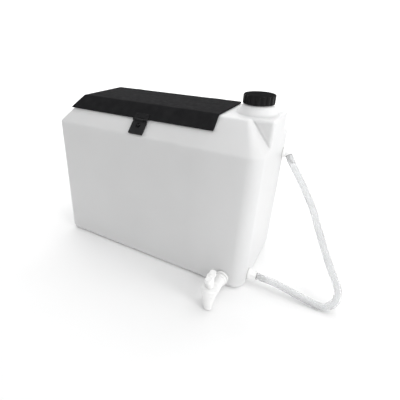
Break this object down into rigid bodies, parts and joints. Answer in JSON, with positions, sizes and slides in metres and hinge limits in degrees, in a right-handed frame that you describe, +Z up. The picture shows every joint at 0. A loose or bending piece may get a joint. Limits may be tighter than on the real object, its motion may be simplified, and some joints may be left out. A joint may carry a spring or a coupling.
{
  "type": "open feed-and-expansion tank",
  "caption": "Translucent moulded tank with a screw cap, a hinged access cover held by a strap latch, a draw-off tap and a clear level hose.",
  "frame": {"origin": "centre of the tank's flat base", "axes": "+X along the tank towards the filler neck and the hose ports, -Y out of the front with the tap, +Z up"},
  "size_m": [0.6195, 0.303, 0.364],
  "materials": {
    "milky_plastic": "translucent blow-moulded polyethylene, soft sheen",
    "black_sheet": "fine-grained matt black sheet",
    "black_moulding": "satin moulded black",
    "black_strap": "ribbed black polymer strap",
    "cap_plastic": "gloss black",
    "white_fitting": "white injection-moulded, satin gloss",
    "liner_foam": "closed-cell foam",
    "seal_rubber": "pale silicone rubber",
    "zinc_steel": "zinc-plated",
    "clear_hose": "clear soft hose"
  },
  "bodies": {
    "tank": {"tank_shell": "milky_plastic", "access_gasket": "seal_rubber", "hinge_brackets": "black_moulding", "hinge_pins": "zinc_steel", "hinge_rivets": "zinc_steel", "latch_stud": "black_moulding", "tap_body": "white_fitting", "tap_outer_washer": "seal_rubber", "tap_inner_washer": "seal_rubber", "tap_backnut": "white_fitting", "tap_bonnet": "white_fitting", "lower_hose_tail": "white_fitting", "lower_outer_washer": "seal_rubber", "lower_inner_washer": "seal_rubber", "lower_backnut": "white_fitting", "upper_hose_elbow": "white_fitting", "upper_outer_washer": "seal_rubber", "upper_inner_washer": "seal_rubber", "upper_backnut": "white_fitting", "level_hose": "clear_hose"},
    "cover": {"access_cover": "black_sheet", "latch_plate": "black_moulding", "latch_rivets": "black_moulding", "latch_pin": "zinc_steel"},
    "strap": {"latch_strap": "black_strap"},
    "liner": {"cap_liner": "liner_foam"},
    "cap": {"filler_cap": "cap_plastic"},
    "tap_key": {"tap_plug": "white_fitting", "tap_plug_seals": "seal_rubber", "tap_handle": "white_fitting", "tap_handle_screw": "white_fitting"}
  },
  "joints": [
    {"name": "cover_hinge", "type": "hinge", "parent": "tank", "child": "cover", "pos_m": [0, 0.0685, 0.3289], "axis": [-1, 0, 0], "range_deg": [0, 115]},
    {"name": "strap_hinge", "type": "hinge", "parent": "cover", "child": "strap", "pos_m": [-0.02, -0.0905, 0.30666], "axis": [-1, 0, 0], "range_deg": [0, 100]},
    {"name": "cap_lift", "type": "slide", "parent": "tank", "child": "liner", "axis": [0, 0, 1], "range_m": [0, 0.0121]},
    {"name": "cap_turn", "type": "hinge", "parent": "liner", "child": "cap", "pos_m": [0.18, 0, 0.36], "axis": [0, 0, 1], "range_deg": [0, 720]},
    {"name": "tap_turn", "type": "hinge", "parent": "tank", "child": "tap_key", "pos_m": [0.184, -0.177, 0.05], "axis": [0, 0, 1], "range_deg": [0, 90]}
  ],
  "couplings": [
    {"joint": "cap_lift", "follows": "cap_turn", "m_per_rad": 0.00095493}
  ]
}
